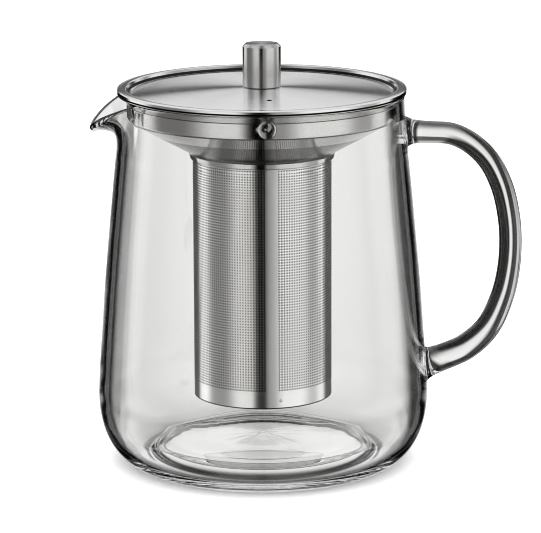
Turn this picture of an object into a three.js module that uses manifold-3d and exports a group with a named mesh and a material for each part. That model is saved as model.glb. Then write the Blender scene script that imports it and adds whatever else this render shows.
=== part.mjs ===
// Glass jug teapot with a lift-out steel infuser and a loose steel lid.
// Units are millimetres and +Z is up. The spout points to -X and the handle to +X.
// The origin is on the table, midway between spout tip and handle. Pieces are modelled
// about the vertical axis of the body, and the whole group is then moved to AXIS_X.

import * as THREE from 'three';
import * as BufferGeometryUtils from 'three/addons/utils/BufferGeometryUtils.js';
import Module from 'manifold-3d';

const wasm = await Module();
wasm.setup();

const { degToRad, lerp } = THREE.MathUtils;

// ---------------------------------------------------------------- shared dimensions

const AXIS_X = -16.7;

// Stack at the mouth: glass rim, infuser flange, lid rim
const STACK_GAP = 0.2;
const RIM_THICK = 0.65;             // of the infuser flange and of the lid rim
const GLASS_RIM_Z = 141.5;
const FLANGE_BOTTOM_Z = GLASS_RIM_Z + STACK_GAP;
const FLANGE_TOP_Z = FLANGE_BOTTOM_Z + RIM_THICK;
const LID_RIM_BOTTOM_Z = FLANGE_TOP_Z + STACK_GAP;
const LID_RIM_TOP_Z = LID_RIM_BOTTOM_Z + RIM_THICK;

// Facets round a full turn
const RING_SEGMENTS = 48;           // funnel, ring, strainer and lid dish
const CUP_SEGMENTS = 40;
const KNOB_SEGMENTS = 32;
const SMALL_SEGMENTS = 24;          // washer and screw
const VENT_SEGMENTS = 12;
const CUTTER_SEGMENTS = 120;

// ---------------------------------------------------------------- helpers

function signedVolume(geometry) {
  const position = geometry.getAttribute('position');
  const index = geometry.getIndex();
  const [a, b, c] = [new THREE.Vector3(), new THREE.Vector3(), new THREE.Vector3()];
  let volume = 0;
  for (let i = 0; i < index.count; i += 3) {
    a.fromBufferAttribute(position, index.getX(i));
    b.fromBufferAttribute(position, index.getX(i + 1));
    c.fromBufferAttribute(position, index.getX(i + 2));
    volume += a.dot(b.cross(c)) / 6;
  }
  return volume;
}

// Welds the seams, drops empty triangles and turns the faces outwards
function closed(geometry) {
  // Normals and UVs differ across a seam and would keep it from welding
  geometry.deleteAttribute('normal');
  geometry.deleteAttribute('uv');
  const welded = BufferGeometryUtils.mergeVertices(geometry, 1e-5);
  const index = welded.getIndex();
  const kept = [];
  for (let i = 0; i < index.count; i += 3) {
    const [a, b, c] = [index.getX(i), index.getX(i + 1), index.getX(i + 2)];
    if (a !== b && b !== c && c !== a) kept.push(a, b, c);
  }
  welded.setIndex(kept);
  if (signedVolume(welded) < 0) {
    for (let i = 0; i < kept.length; i += 3) {
      [kept[i + 1], kept[i + 2]] = [kept[i + 2], kept[i + 1]];
    }
    welded.setIndex(kept);
  }
  return welded;
}

function indexedGeometry(positions, index) {
  const geometry = new THREE.BufferGeometry();
  geometry.setAttribute('position', new THREE.Float32BufferAttribute(positions, 3));
  geometry.setIndex(index);
  return geometry;
}

// Two triangles over corners given in order round the quad
function pushQuad(index, a, b, c, d) {
  index.push(a, b, c, a, c, d);
}

// Subtracts one closed geometry from another
function cut(geometry, tool) {
  const [solid, cutter] = [geometry, tool].map((part) => new wasm.Manifold(new wasm.Mesh({
    numProp: 3,
    vertProperties: part.getAttribute('position').array,
    triVerts: Uint32Array.from(part.getIndex().array),
  })));
  const mesh = solid.subtract(cutter).getMesh();
  return indexedGeometry(mesh.vertProperties, Array.from(mesh.triVerts));
}

// Solid of revolution about Z from a profile of [r, z] points that ends on the axis
function revolve(profile, segments) {
  const points = profile.map(([r, z]) => new THREE.Vector2(r, z));
  const geometry = new THREE.LatheGeometry(points, segments);
  geometry.rotateX(Math.PI / 2);
  return closed(geometry);
}

// The same for a profile that runs back to its first point
function revolveLoop(profile, segments) {
  return revolve([...profile, profile[0]], segments);
}

// Plain ring of rectangular section
function tube({ innerR, outerR, bottomZ, topZ, segments }) {
  return revolveLoop([
    [innerR, bottomZ],
    [outerR, bottomZ],
    [outerR, topZ],
    [innerR, topZ],
  ], segments);
}

// ---------------------------------------------------------------- glass body

const NECK_OUTER_R = 53.3;
const WALL = 2.0;                   // glass wall at the neck
const BELLY_R = 62.4;               // widest radius
const BELLY_Z = 26.1;
const FOOT_OUTER_R = 44.5;          // flat foot ring that stands on the table
const FOOT_INNER_R = 41.2;
const CORNER_POWER = 2.05;          // roundness of the corner between belly and foot
const CORNER_STEPS = 7;
const SECTION_Z = 121.0;            // the body is a plain revolution below this level
const SECTION_OUTER_R = 54.55;
const SECTION_INNER_R = SECTION_OUTER_R - WALL;

// Pulled spout
const SPOUT_HALF_ANGLE = 30;        // degrees to each side of -X
const SPOUT_REACH = 11.0;           // how far the lip is pulled outwards
const SPOUT_DROP = 12.4;            // how far the lip is pulled down
const SPOUT_LEAN = 94;              // direction of the lip at the tip, degrees from vertical
const SPOUT_LIP = 1.35;             // half thickness of the lip at the tip
const SPOUT_STEP = 5;               // degrees between sections across the spout
const BACK_STEPS = 30;              // intervals round the rest of the body

// How the spout fades out to its sides
const SPOUT_FADE = {
  tipRounding: 1.5,                 // degrees over which the peak at -X is rounded
  pullPower: 1.4,
  dropPower: 1.08,
  leanPower: 1.2,
};

// Bezier arms of the neck line; "plain" is away from the spout, "spout" is its tip
const NECK_ARMS = {
  lowPlain: 0.36,                   // lower arm, share of the rise
  lowSpout: 0.52,                   // added to that share by the full pull
  lowTaper: 0.055,                  // inward slope of the lower arm
  highPlain: 0.33,                  // upper arm, share of the rise
  highSpout: 8.6,                   // upper arm, length
};
const NECK_STEPS = 6;
const LIP_ARC_DEGREES = [45, 90, 135];

// Outer wall between the belly and the plain limit, [r, z] going up
const OUTER_WALL = [
  [62.15, 34.0], [61.45, 43.5], [59.65, 68.2], [57.35, 93.2], [SECTION_OUTER_R, SECTION_Z],
];

// Superellipse corner from the foot to the belly, [r, z] going up
function footCorner() {
  const points = [];
  for (let i = 1; i <= CORNER_STEPS; i += 1) {
    const angle = (Math.PI / 2) * (1 - i / CORNER_STEPS);
    points.push([
      FOOT_OUTER_R + (BELLY_R - FOOT_OUTER_R) * Math.cos(angle) ** (2 / CORNER_POWER),
      BELLY_Z - BELLY_Z * Math.sin(angle) ** (2 / CORNER_POWER),
    ]);
  }
  return points;
}

// Outer side of the revolved part, [r, z] from the axis outwards and up
const OUTER = [
  [0, 7.2], [34.0, 6.3], [38.4, 4.8], [FOOT_INNER_R, 0], [FOOT_OUTER_R, 0],
  ...footCorner(),
  ...OUTER_WALL,
];

// Inner side of the revolved part, [r, z] from the axis outwards and up
const INNER = [
  [0, 10.6], [34.5, 9.4], [39.2, 8.2], [42.2, 5.2], [45.3, 3.7], [49.0, 4.0],
  [53.2, 6.4], [57.2, 11.6], [59.6, 19.0], [60.2, 27.0], [59.3, 43.5],
  [57.5, 68.2], [55.25, 93.2], [SECTION_INNER_R, SECTION_Z],
];

// Stations up the middle of the wall above SECTION_Z: point, direction and half thickness.
// fromSpout is the azimuth measured from the spout, in degrees.
function neckStations(fromSpout) {
  const away = Math.min(Math.hypot(fromSpout, SPOUT_FADE.tipRounding) / SPOUT_HALF_ANGLE, 1);
  const pull = 1 - away ** SPOUT_FADE.pullPower;
  const drop = (1 - away) ** SPOUT_FADE.dropPower;
  const lean = degToRad(SPOUT_LEAN * (1 - away ** SPOUT_FADE.leanPower));
  const startR = (SECTION_OUTER_R + SECTION_INNER_R) / 2;
  const endR = NECK_OUTER_R - WALL / 2 + SPOUT_REACH * pull;
  const endZ = GLASS_RIM_Z - WALL / 2 - SPOUT_DROP * drop;
  const rise = endZ - SECTION_Z;
  const lowArm = rise * (NECK_ARMS.lowPlain + NECK_ARMS.lowSpout * pull);
  const highArm = NECK_ARMS.highPlain * rise * (1 - pull) + NECK_ARMS.highSpout * pull;
  const curve = new THREE.CubicBezierCurve(
    new THREE.Vector2(startR, SECTION_Z),
    new THREE.Vector2(startR - NECK_ARMS.lowTaper * lowArm, SECTION_Z + lowArm),
    new THREE.Vector2(endR - Math.sin(lean) * highArm, endZ - Math.cos(lean) * highArm),
    new THREE.Vector2(endR, endZ),
  );
  const stations = [];
  for (let i = 1; i <= NECK_STEPS; i += 1) {
    const t = i / NECK_STEPS;
    stations.push({
      point: curve.getPoint(t),
      direction: curve.getTangent(t),
      half: WALL / 2 + (SPOUT_LIP - WALL / 2) * pull * t ** 3,
    });
  }
  return stations;
}

// [r, z] at a distance outwards from a station and a distance along its direction
function offsetFrom({ point, direction }, outwards, along = 0) {
  return [
    point.x + direction.y * outwards + direction.x * along,
    point.y - direction.x * outwards + direction.y * along,
  ];
}

// Section from the axis up the outside, round the lip and down the inside to the axis
function bodySection(fromSpout) {
  const stations = neckStations(fromSpout);
  const tip = stations.at(-1);
  const lip = LIP_ARC_DEGREES.map((degrees) => {
    const angle = degToRad(degrees);
    return offsetFrom(tip, Math.cos(angle) * tip.half, Math.sin(angle) * tip.half);
  });
  return [
    ...OUTER,
    ...stations.map((station) => offsetFrom(station, station.half)),
    ...lip,
    ...stations.map((station) => offsetFrom(station, -station.half)).reverse(),
    ...[...INNER].reverse(),
  ];
}

// Azimuths from the spout: close together across it, wider round the back
function bodyAzimuths() {
  const azimuths = [];
  for (let a = -SPOUT_HALF_ANGLE; a <= SPOUT_HALF_ANGLE; a += SPOUT_STEP) azimuths.push(a);
  const backAngle = 360 - 2 * SPOUT_HALF_ANGLE;
  for (let i = 1; i < BACK_STEPS; i += 1) {
    azimuths.push(SPOUT_HALF_ANGLE + (backAngle * i) / BACK_STEPS);
  }
  return azimuths;
}

function glassBody() {
  const azimuths = bodyAzimuths();
  const columns = azimuths.map((a) => bodySection(a > 180 ? 360 - a : Math.abs(a)));

  // The two ends of every section are shared points on the axis
  const positions = [0, 0, columns[0][0][1], 0, 0, columns[0].at(-1)[1]];
  columns.forEach((section, column) => {
    const phi = Math.PI - degToRad(azimuths[column]);
    for (const [r, z] of section.slice(1, -1)) {
      positions.push(r * Math.cos(phi), r * Math.sin(phi), z);
    }
  });

  const rows = columns[0].length - 2;
  const vertex = (column, row) => 2 + (column % columns.length) * rows + row;
  const index = [];
  for (let column = 0; column < columns.length; column += 1) {
    const next = column + 1;
    index.push(0, vertex(column, 0), vertex(next, 0));
    index.push(1, vertex(next, rows - 1), vertex(column, rows - 1));
    for (let row = 0; row < rows - 1; row += 1) {
      pushQuad(
        index,
        vertex(column, row),
        vertex(column, row + 1),
        vertex(next, row + 1),
        vertex(next, row),
      );
    }
  }
  return closed(indexedGeometry(positions, index));
}

// ---------------------------------------------------------------- glass handle

const HANDLE_GAP = 0.3;             // clearance between the handle ends and the wall
const HANDLE_STEPS = 34;
const HANDLE_SIDES = 12;

// Centre line in the XZ plane, from the upper end to the lower:
// x, z, half thickness in the plane, half thickness across it
const HANDLE_PATH = [
  [52.6, 127.1, 6.3, 6.8],
  [54.6, 127.1, 5.2, 5.8],
  [57.5, 127.05, 4.15, 4.9],
  [63.5, 126.8, 4.0, 4.6],
  [70.8, 126.3, 4.0, 4.6],
  [78.3, 123.0, 4.0, 4.6],
  [85.4, 116.3, 4.0, 4.6],
  [90.4, 106.1, 4.0, 4.6],
  [93.1, 94.6, 4.0, 4.6],
  [93.8, 84.6, 4.05, 4.6],
  [93.1, 74.0, 4.1, 4.6],
  [90.7, 63.4, 4.25, 4.7],
  [85.2, 51.6, 4.6, 4.8],
  [77.2, 44.2, 4.95, 5.0],
  [69.5, 40.6, 5.0, 5.1],
  [64.6, 38.9, 5.2, 5.4],
  [61.9, 38.1, 5.9, 6.1],
  [59.8, 37.5, 6.6, 6.8],
];

// Side of the body next to the handle, [r, z] going up
const CUTTER_BOTTOM_Z = 15;
const HANDLE_WALL = [
  [BELLY_R, CUTTER_BOTTOM_Z],
  [BELLY_R, BELLY_Z],
  ...OUTER_WALL,
  [53.75, 130.0],
  [NECK_OUTER_R + 0.05, GLASS_RIM_Z],
];

function handleRod() {
  const knots = HANDLE_PATH.map(([x, z]) => new THREE.Vector3(x, 0, z));
  const path = new THREE.CatmullRomCurve3(knots, false, 'centripetal');
  const positions = [];
  for (let i = 0; i <= HANDLE_STEPS; i += 1) {
    const t = i / HANDLE_STEPS;
    const centre = path.getPoint(t);
    const direction = path.getTangent(t);
    const place = t * (HANDLE_PATH.length - 1);
    const knot = Math.min(Math.floor(place), HANDLE_PATH.length - 2);
    const [inPlane, across] = [2, 3].map((column) => (
      lerp(HANDLE_PATH[knot][column], HANDLE_PATH[knot + 1][column], place - knot)
    ));
    for (let j = 0; j < HANDLE_SIDES; j += 1) {
      const angle = (2 * Math.PI * j) / HANDLE_SIDES;
      positions.push(
        centre.x - direction.z * Math.cos(angle) * inPlane,
        Math.sin(angle) * across,
        centre.z + direction.x * Math.cos(angle) * inPlane,
      );
    }
  }

  const vertex = (i, j) => i * HANDLE_SIDES + (j % HANDLE_SIDES);
  const index = [];
  for (let i = 0; i < HANDLE_STEPS; i += 1) {
    for (let j = 0; j < HANDLE_SIDES; j += 1) {
      pushQuad(index, vertex(i, j), vertex(i + 1, j), vertex(i + 1, j + 1), vertex(i, j + 1));
    }
  }
  const last = HANDLE_STEPS;
  for (let j = 1; j < HANDLE_SIDES - 1; j += 1) {
    index.push(vertex(0, 0), vertex(0, j), vertex(0, j + 1));
    index.push(vertex(last, 0), vertex(last, j + 1), vertex(last, j));
  }
  return closed(indexedGeometry(positions, index));
}

// The ends of the rod are cut to the curve of the wall, one clearance away from it
function glassHandle() {
  const cutter = revolve([
    [0, CUTTER_BOTTOM_Z],
    ...HANDLE_WALL.map(([r, z]) => [r + HANDLE_GAP, z]),
    [0, GLASS_RIM_Z],
  ], CUTTER_SEGMENTS);
  return cut(handleRod(), cutter);
}

// ---------------------------------------------------------------- infuser

const SHEET = 0.6;                  // sheet thickness of the drawn funnel
const FLANGE_R = 54.2;
const FLANGE_CHAMFER = 0.15;
const THROAT_R = 50.2;              // outer radius of the short wall under the flange
const THROAT_TOP_Z = 140.9;         // the inside flares out to the flange above this
const COLLAR_R = 50.6;              // outer radius of the collar
const COLLAR_TOP_Z = 138.7;
const COLLAR_BOTTOM_Z = 133.2;
const CONE_LOW_R = 27.0;
const CONE_LOW_Z = 119.9;
const RING_R = 27.25;               // joining ring round the top of the strainer
const RING_INNER_R = 26.35;
const RING_TOP_Z = 119.5;
const RING_BOTTOM_Z = 116.6;
const RING_CHAMFER = 0.15;
const STRAINER_R = 26.05;
const STRAINER_SHEET = 0.4;
const STRAINER_TOP_Z = 118.9;
const STRAINER_BOTTOM_Z = 26.6;
const CUP_R = 25.3;                 // cup inside the bottom of the strainer
const CUP_TOP_Z = 33.4;
const CUP_BOTTOM_Z = STRAINER_BOTTOM_Z + 0.2;
const CUP_SHEET = 0.5;

function infuserFunnel() {
  return revolveLoop([
    // outside, from the flange edge down
    [FLANGE_R, FLANGE_BOTTOM_Z + FLANGE_CHAMFER],
    [FLANGE_R - FLANGE_CHAMFER, FLANGE_BOTTOM_Z],
    [THROAT_R, FLANGE_BOTTOM_Z],
    [THROAT_R, COLLAR_TOP_Z + 0.3],
    [COLLAR_R, COLLAR_TOP_Z],
    [COLLAR_R, COLLAR_BOTTOM_Z + 0.9],
    [COLLAR_R - 1.0, COLLAR_BOTTOM_Z],
    [CONE_LOW_R, CONE_LOW_Z],
    // inside, back up
    [CONE_LOW_R - 0.9, CONE_LOW_Z + 0.2],
    [CONE_LOW_R - 0.3, CONE_LOW_Z + SHEET + 0.1],
    [COLLAR_R - 1.55, COLLAR_BOTTOM_Z + SHEET + 0.05],
    [COLLAR_R - SHEET, COLLAR_BOTTOM_Z + 1.4],
    [COLLAR_R - SHEET, COLLAR_TOP_Z - 0.3],
    [THROAT_R - SHEET, COLLAR_TOP_Z],
    [THROAT_R - SHEET, THROAT_TOP_Z],
    [THROAT_R + 1.1, FLANGE_TOP_Z],
    [FLANGE_R, FLANGE_TOP_Z],
  ], RING_SEGMENTS);
}

function infuserRing() {
  return revolveLoop([
    [RING_INNER_R, RING_BOTTOM_Z],
    [RING_R - 0.45, RING_BOTTOM_Z],
    [RING_R, RING_BOTTOM_Z + 1.0],
    [RING_R, RING_TOP_Z - RING_CHAMFER],
    [RING_R - RING_CHAMFER, RING_TOP_Z],
    [RING_INNER_R, RING_TOP_Z],
  ], RING_SEGMENTS);
}

// The strainer is modelled as a plain cylinder, without its perforations
function infuserBasket() {
  return tube({
    innerR: STRAINER_R - STRAINER_SHEET,
    outerR: STRAINER_R,
    bottomZ: STRAINER_BOTTOM_Z,
    topZ: STRAINER_TOP_Z,
    segments: RING_SEGMENTS,
  });
}

function infuserBase() {
  return revolve([
    [0, CUP_BOTTOM_Z],
    [CUP_R - 1.2, CUP_BOTTOM_Z],
    [CUP_R - 0.35, CUP_BOTTOM_Z + 0.35],
    [CUP_R, CUP_BOTTOM_Z + 1.2],
    [CUP_R, CUP_TOP_Z],
    [CUP_R - CUP_SHEET, CUP_TOP_Z],
    [CUP_R - CUP_SHEET, CUP_BOTTOM_Z + 1.4],
    [CUP_R - 1.3, CUP_BOTTOM_Z + CUP_SHEET],
    [0, CUP_BOTTOM_Z + CUP_SHEET],
  ], CUP_SEGMENTS);
}

// ---------------------------------------------------------------- lid

const LID_R = 54.6;
const LID_INNER_R = 51.0;           // inner edge of the flat rim
const LID_SHEET = 0.6;
const DISC_R = 49.1;                // edge of the sunk disc
const DISC_EDGE_Z = 141.65;
const DISC_APEX_Z = 143.95;
const BORE_R = 2.3;                 // bore through dish and washer and up into the knob
const DISC_RADII = [BORE_R, 17, 32, 42, DISC_R];
const VENT_X = 2.8;
const VENT_Y = -26.6;
const VENT_R = 0.85;
const VENT_DRILL_LENGTH = 6;

const KNOB_R = 7.15;
const KNOB_BOTTOM_Z = DISC_APEX_Z + 0.1;
const KNOB_TOP_Z = 160.2;
const KNOB_EDGE = 1.1;              // size of the rounded top edge
const KNOB_EDGE_MID = 0.32;         // inset of the middle of that edge
const KNOB_CHAMFER = 0.4;           // on the bottom edge
const KNOB_BORE_TOP_Z = 155.0;
const KNOB_BORE_TIP = 1.2;          // height of the cone at the end of the bore

const WASHER_R = 5.0;
const WASHER_TOP_Z = 143.2;
const WASHER_BOTTOM_Z = WASHER_TOP_Z - 0.8;
const SCREW_R = 1.95;               // M4 screw
const SCREW_TOP_Z = 153.7;
const SCREW_CHAMFER = 0.5;
const SCREW_HEAD_R = 3.9;
const SCREW_HEAD_TOP_Z = WASHER_BOTTOM_Z - 0.05;
const SCREW_HEAD_BOTTOM_Z = SCREW_HEAD_TOP_Z - 2.4;

// Height of the top of the domed disc at radius r
function domeZ(r) {
  return DISC_EDGE_Z + (DISC_APEX_Z - DISC_EDGE_Z) * (1 - (r / DISC_R) ** 2);
}

function lidDish() {
  const top = DISC_RADII.map((r) => [r, domeZ(r)]);
  const under = top.map(([r, z]) => [r, z - LID_SHEET]);
  const dish = revolveLoop([
    ...top,
    [LID_INNER_R, LID_RIM_TOP_Z - 0.1],
    [LID_INNER_R + 0.4, LID_RIM_TOP_Z],
    [LID_R - 0.25, LID_RIM_TOP_Z],
    [LID_R, LID_RIM_TOP_Z - 0.2],
    [LID_R, LID_RIM_BOTTOM_Z],
    [LID_INNER_R + 0.35, LID_RIM_BOTTOM_Z],
    [LID_INNER_R - 0.1, LID_RIM_BOTTOM_Z - 0.12],
    ...under.reverse(),
  ], RING_SEGMENTS);
  const drill = new THREE.CylinderGeometry(VENT_R, VENT_R, VENT_DRILL_LENGTH, VENT_SEGMENTS);
  drill.rotateX(Math.PI / 2);
  drill.translate(VENT_X, VENT_Y, domeZ(Math.hypot(VENT_X, VENT_Y)));
  return cut(dish, closed(drill));
}

function lidKnob() {
  return revolveLoop([
    [BORE_R, KNOB_BOTTOM_Z],
    [KNOB_R - KNOB_CHAMFER, KNOB_BOTTOM_Z],
    [KNOB_R, KNOB_BOTTOM_Z + KNOB_CHAMFER],
    [KNOB_R, KNOB_TOP_Z - KNOB_EDGE],
    [KNOB_R - KNOB_EDGE_MID, KNOB_TOP_Z - KNOB_EDGE_MID],
    [KNOB_R - KNOB_EDGE, KNOB_TOP_Z],
    [0, KNOB_TOP_Z],
    [0, KNOB_BORE_TOP_Z + KNOB_BORE_TIP],
    [BORE_R, KNOB_BORE_TOP_Z],
  ], KNOB_SEGMENTS);
}

function lidWasher() {
  return tube({
    innerR: BORE_R,
    outerR: WASHER_R,
    bottomZ: WASHER_BOTTOM_Z,
    topZ: WASHER_TOP_Z,
    segments: SMALL_SEGMENTS,
  });
}

// The screw stands head down, with its shank up in the knob
function lidScrew() {
  return revolve([
    [0, SCREW_HEAD_BOTTOM_Z],
    [SCREW_HEAD_R - 1.2, SCREW_HEAD_BOTTOM_Z],
    [SCREW_HEAD_R - 0.3, SCREW_HEAD_BOTTOM_Z + 0.5],
    [SCREW_HEAD_R, SCREW_HEAD_TOP_Z - 1.0],
    [SCREW_HEAD_R, SCREW_HEAD_TOP_Z],
    [SCREW_R, SCREW_HEAD_TOP_Z],
    [SCREW_R, SCREW_TOP_Z - SCREW_CHAMFER],
    [SCREW_R - SCREW_CHAMFER, SCREW_TOP_Z],
    [0, SCREW_TOP_Z],
  ], SMALL_SEGMENTS);
}

// ---------------------------------------------------------------- materials

function glass() {
  return new THREE.MeshStandardMaterial({
    color: 0xe9eeee,
    roughness: 0.02,
    metalness: 0,
    transparent: true,
    opacity: 0.3,
  });
}

function steel({ color, roughness }) {
  return new THREE.MeshStandardMaterial({ color, roughness, metalness: 1 });
}

// Steel finishes
const FUNNEL_STEEL = { color: 0xd2d2d0, roughness: 0.12 };
const RING_STEEL = { color: 0xcfcfcd, roughness: 0.18 };
const STRAINER_STEEL = { color: 0xbdbdbb, roughness: 0.3 };
const DISH_STEEL = { color: 0xc8c8c6, roughness: 0.28 };
const KNOB_STEEL = { color: 0xb4b4b2, roughness: 0.3 };
const FIXING_STEEL = { color: 0xb8b8b6, roughness: 0.35 };

// ---------------------------------------------------------------- assembly

function named(name, geometry, material) {
  geometry.computeVertexNormals();
  const mesh = new THREE.Mesh(geometry, material);
  mesh.name = name;
  return mesh;
}

const pot = new THREE.Group();
pot.add(
  named('glass_body', glassBody(), glass()),
  named('glass_handle', glassHandle(), glass()),
);

const infuser = new THREE.Group();
infuser.add(
  named('infuser_funnel', infuserFunnel(), steel(FUNNEL_STEEL)),
  named('infuser_ring', infuserRing(), steel(RING_STEEL)),
  named('infuser_basket', infuserBasket(), steel(STRAINER_STEEL)),
  named('infuser_base', infuserBase(), steel(STRAINER_STEEL)),
);

const lid = new THREE.Group();
lid.add(
  named('lid_dish', lidDish(), steel(DISH_STEEL)),
  named('lid_knob', lidKnob(), steel(KNOB_STEEL)),
  named('lid_washer', lidWasher(), steel(FIXING_STEEL)),
  named('lid_screw', lidScrew(), steel(FIXING_STEEL)),
);

const group = new THREE.Group();
group.add(pot, infuser, lid);
group.position.x = AXIS_X;

export default group;
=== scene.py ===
"""Looks for the glass jug teapot: fused glass jug, lift-out steel infuser with a real perforated
strainer, and a loose spun-steel lid with a turned knob. Lengths in the builders below are
millimetres in the CAD frame and become metres when a mesh is made."""

import math

import bmesh
import bpy
import numpy as np
from mathutils import Matrix, Vector


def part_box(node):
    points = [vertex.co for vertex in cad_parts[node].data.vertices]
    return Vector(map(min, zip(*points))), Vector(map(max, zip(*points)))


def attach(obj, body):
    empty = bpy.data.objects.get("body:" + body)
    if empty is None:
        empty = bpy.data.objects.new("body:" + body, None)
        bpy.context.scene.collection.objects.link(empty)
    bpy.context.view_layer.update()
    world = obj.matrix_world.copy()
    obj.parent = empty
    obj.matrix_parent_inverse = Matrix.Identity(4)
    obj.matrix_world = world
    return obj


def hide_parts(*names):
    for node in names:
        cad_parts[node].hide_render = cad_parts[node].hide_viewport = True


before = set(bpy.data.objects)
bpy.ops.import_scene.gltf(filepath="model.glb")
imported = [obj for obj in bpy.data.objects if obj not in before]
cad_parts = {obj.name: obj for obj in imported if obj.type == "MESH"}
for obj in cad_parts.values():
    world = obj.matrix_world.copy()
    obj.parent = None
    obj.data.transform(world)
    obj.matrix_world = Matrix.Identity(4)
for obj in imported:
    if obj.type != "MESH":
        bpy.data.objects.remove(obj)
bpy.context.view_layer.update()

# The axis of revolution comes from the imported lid
lid_lo, lid_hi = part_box("lid_dish")
AX = 0.5 * (lid_lo.x + lid_hi.x) * 1000.0
LID_TOP = lid_hi.z * 1000.0

# ---------------------------------------------------------------- mesh helpers


def make_object(name, verts_mm, faces, smooth=True, origin=(0.0, 0.0, 0.0)):
    """A mesh object from millimetre points, its object origin at `origin` (mm)."""
    o = np.array(origin, float)
    v = (np.asarray(verts_mm, float) - o) * 0.001
    mesh = bpy.data.meshes.new(name)
    mesh.from_pydata(v.tolist(), [], faces)
    mesh.validate(verbose=False)
    mesh.update()
    if smooth:
        mesh.polygons.foreach_set("use_smooth", np.ones(len(mesh.polygons), bool))
    ob = bpy.data.objects.new(name, mesh)
    bpy.context.scene.collection.objects.link(ob)
    ob.location = Vector(o * 0.001)
    return ob


def fillet(points, closed, radii, steps=6, support=0.12):
    """Rounds the corners of a polyline of [r, z] points. radii[i] is the radius at point i (0 keeps it
    sharp). Short support segments beside each arc keep the flats flat under smooth shading."""
    pts = [np.array(p, float) for p in points]
    n = len(pts)
    out = []
    for i, p in enumerate(pts):
        rad = radii[i]
        if not closed and i in (0, n - 1):
            out.append(p)
            continue
        a, b = pts[(i - 1) % n], pts[(i + 1) % n]
        da, db = a - p, b - p
        la, lb = np.linalg.norm(da), np.linalg.norm(db)
        if rad <= 0 or la < 1e-9 or lb < 1e-9:
            out.append(p)
            continue
        ua, ub = da / la, db / lb
        cosang = float(np.clip(ua @ ub, -1, 1))
        ang = math.acos(cosang)
        if ang > math.radians(178.5):
            out.append(p)
            continue
        cut = rad / math.tan(ang / 2)
        cut = min(cut, 0.46 * la, 0.46 * lb)
        rr = cut * math.tan(ang / 2)
        centre = p + (ua + ub) / np.linalg.norm(ua + ub) * (rr / math.sin(ang / 2))
        pa, pb = p + ua * cut, p + ub * cut
        va, vb = pa - centre, pb - centre
        turn = math.atan2(va[0] * vb[1] - va[1] * vb[0], va @ vb)
        count = max(2, int(math.ceil(abs(turn) / math.radians(90) * steps)))
        if la - cut > 3 * support:
            out.append(pa + ua * support)
        for k in range(count + 1):
            t = turn * k / count
            c, s = math.cos(t), math.sin(t)
            out.append(centre + np.array([c * va[0] - s * va[1], s * va[0] + c * va[1]]))
        if lb - cut > 3 * support:
            out.append(pb + ub * support)
    return out


def smooth_curve(points, spacing, alpha=0.5):
    """Centripetal Catmull-Rom through [r, z] points, sampled about every `spacing` mm."""
    p = np.array(points, float)
    p = np.vstack([2 * p[0] - p[1], p, 2 * p[-1] - p[-2]])
    out = [p[1]]
    for i in range(1, len(p) - 2):
        p0, p1, p2, p3 = p[i - 1], p[i], p[i + 1], p[i + 2]
        t0 = 0.0
        t1 = t0 + np.linalg.norm(p1 - p0) ** alpha
        t2 = t1 + np.linalg.norm(p2 - p1) ** alpha
        t3 = t2 + np.linalg.norm(p3 - p2) ** alpha
        n = max(1, int(math.ceil(np.linalg.norm(p2 - p1) / spacing)))
        for k in range(1, n + 1):
            t = t1 + (t2 - t1) * k / n
            a1 = (t1 - t) / (t1 - t0) * p0 + (t - t0) / (t1 - t0) * p1
            a2 = (t2 - t) / (t2 - t1) * p1 + (t - t1) / (t2 - t1) * p2
            a3 = (t3 - t) / (t3 - t2) * p2 + (t - t2) / (t3 - t2) * p3
            b1 = (t2 - t) / (t2 - t0) * a1 + (t - t0) / (t2 - t0) * a2
            b2 = (t3 - t) / (t3 - t1) * a2 + (t - t1) / (t3 - t1) * a3
            out.append((t2 - t) / (t2 - t1) * b1 + (t - t1) / (t2 - t1) * b2)
    return [np.array(q) for q in out]


def lathe(name, section, segments, loop, origin_z=0.0, phase=0.0):
    """Revolves [r, z] pairs about the part's axis. A loop closes on itself; otherwise the section
    starts and ends on the axis. Faces point out."""
    sec = [np.array(p, float) for p in section]
    verts, faces = [], []
    ang = phase + 2 * math.pi * np.arange(segments) / segments
    ca, sa = np.cos(ang), np.sin(ang)
    rings = []
    for p in sec:
        if p[0] < 1e-6:
            rings.append([len(verts)])
            verts.append((AX, 0.0, p[1]))
        else:
            start = len(verts)
            rings.append(list(range(start, start + segments)))
            for c, s in zip(ca, sa):
                verts.append((AX + p[0] * c, p[0] * s, p[1]))
    m = len(rings)
    area = 0.0
    for i in range(m):
        a, b = sec[i], sec[(i + 1) % m]
        area += a[0] * b[1] - b[0] * a[1]
    for i in range(m if loop else m - 1):
        A, B = rings[i], rings[(i + 1) % m]
        for k in range(segments):
            k2 = (k + 1) % segments
            if len(A) == 1 and len(B) == 1:
                break
            if len(A) == 1:
                f = (A[0], B[k2], B[k])
            elif len(B) == 1:
                f = (A[k], A[k2], B[0])
            else:
                f = (A[k], A[k2], B[k2], B[k])
            faces.append(f if area > 0 else tuple(reversed(f)))
    return make_object(name, verts, faces, origin=(AX, 0.0, origin_z))


def face_out(ob):
    """Turns a closed mesh's faces outwards."""
    bm = bmesh.new()
    bm.from_mesh(ob.data)
    bmesh.ops.recalc_face_normals(bm, faces=bm.faces)
    if bm.calc_volume(signed=True) < 0:
        bmesh.ops.reverse_faces(bm, faces=bm.faces)
    bm.to_mesh(ob.data)
    bm.free()
    ob.data.update()


# ---------------------------------------------------------------- materials


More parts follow.
